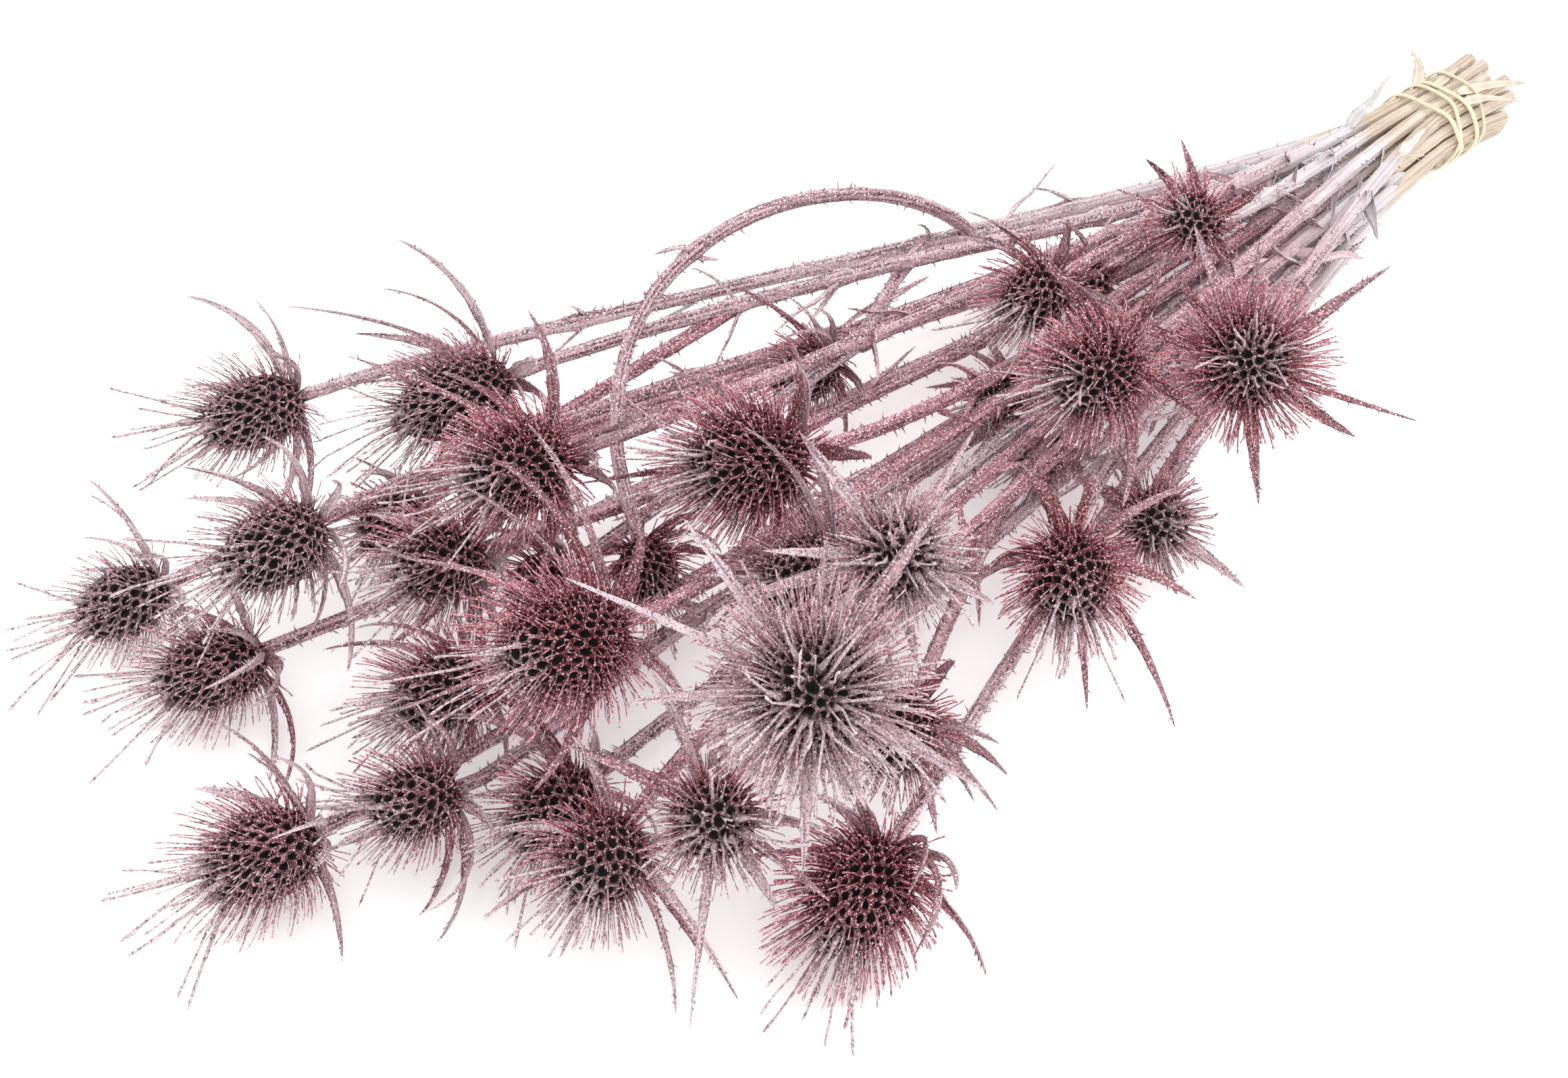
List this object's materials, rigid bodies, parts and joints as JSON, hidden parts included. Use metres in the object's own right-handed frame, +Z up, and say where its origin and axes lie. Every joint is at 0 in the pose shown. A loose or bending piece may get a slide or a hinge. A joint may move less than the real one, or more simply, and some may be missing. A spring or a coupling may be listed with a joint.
{
  "type": "tied bunch of dried teasel heads",
  "caption": "Dried teasel stems with bristly, frosted, dusty-pink heads, tied near their cut ends into a bunch that lies on its side.",
  "frame": {"origin": "on the surface that the bunch lies on, under the middle of its outer box", "axes": "+X along the bunch towards its cut ends, +Z up, +Y towards its far side in the picture"},
  "size_m": [0.6994, 0.3732, 0.1657],
  "materials": {
    "frosted_head": "matt dried bristles with a pink glitter frost",
    "frosted_stalk": "ribbed dried stem, chalky white and dusty pink frost",
    "straw_tie": "plain dry straw-coloured split cane"
  },
  "bodies": {
    "root": {"head_01": "frosted_head", "head_02": "frosted_head", "head_03": "frosted_head", "head_04": "frosted_head", "head_05": "frosted_head", "head_06": "frosted_head", "head_07": "frosted_head", "head_08": "frosted_head", "head_09": "frosted_head", "head_10": "frosted_head", "head_11": "frosted_head", "head_12": "frosted_head", "head_13": "frosted_head", "head_14": "frosted_head", "head_15": "frosted_head", "head_16": "frosted_head", "head_17": "frosted_head", "head_18": "frosted_head", "head_19": "frosted_head", "head_20": "frosted_head", "head_21": "frosted_head", "head_22": "frosted_head", "head_23": "frosted_head", "head_24": "frosted_head", "head_25": "frosted_head", "head_26": "frosted_head", "head_27": "frosted_head", "head_28": "frosted_head", "head_29": "frosted_head", "head_30": "frosted_head", "head_31": "frosted_head", "head_32": "frosted_head", "head_33": "frosted_head", "stalk_01": "frosted_stalk", "stalk_02": "frosted_stalk", "stalk_03": "frosted_stalk", "stalk_04": "frosted_stalk", "stalk_05": "frosted_stalk", "stalk_06": "frosted_stalk", "stalk_07": "frosted_stalk", "stalk_08": "frosted_stalk", "stalk_09": "frosted_stalk", "stalk_10": "frosted_stalk", "stalk_11": "frosted_stalk", "stalk_12": "frosted_stalk", "stalk_13": "frosted_stalk", "stalk_14": "frosted_stalk", "stalk_15": "frosted_stalk", "stalk_16": "frosted_stalk", "stalk_17": "frosted_stalk", "stalk_18": "frosted_stalk", "stalk_19": "frosted_stalk", "stalk_20": "frosted_stalk", "stalk_21": "frosted_stalk", "stalk_22": "frosted_stalk", "stalk_23": "frosted_stalk", "stalk_24": "frosted_stalk", "tie_back": "straw_tie", "tie_front": "straw_tie", "tie_middle": "straw_tie"}
  },
  "joints": []
}
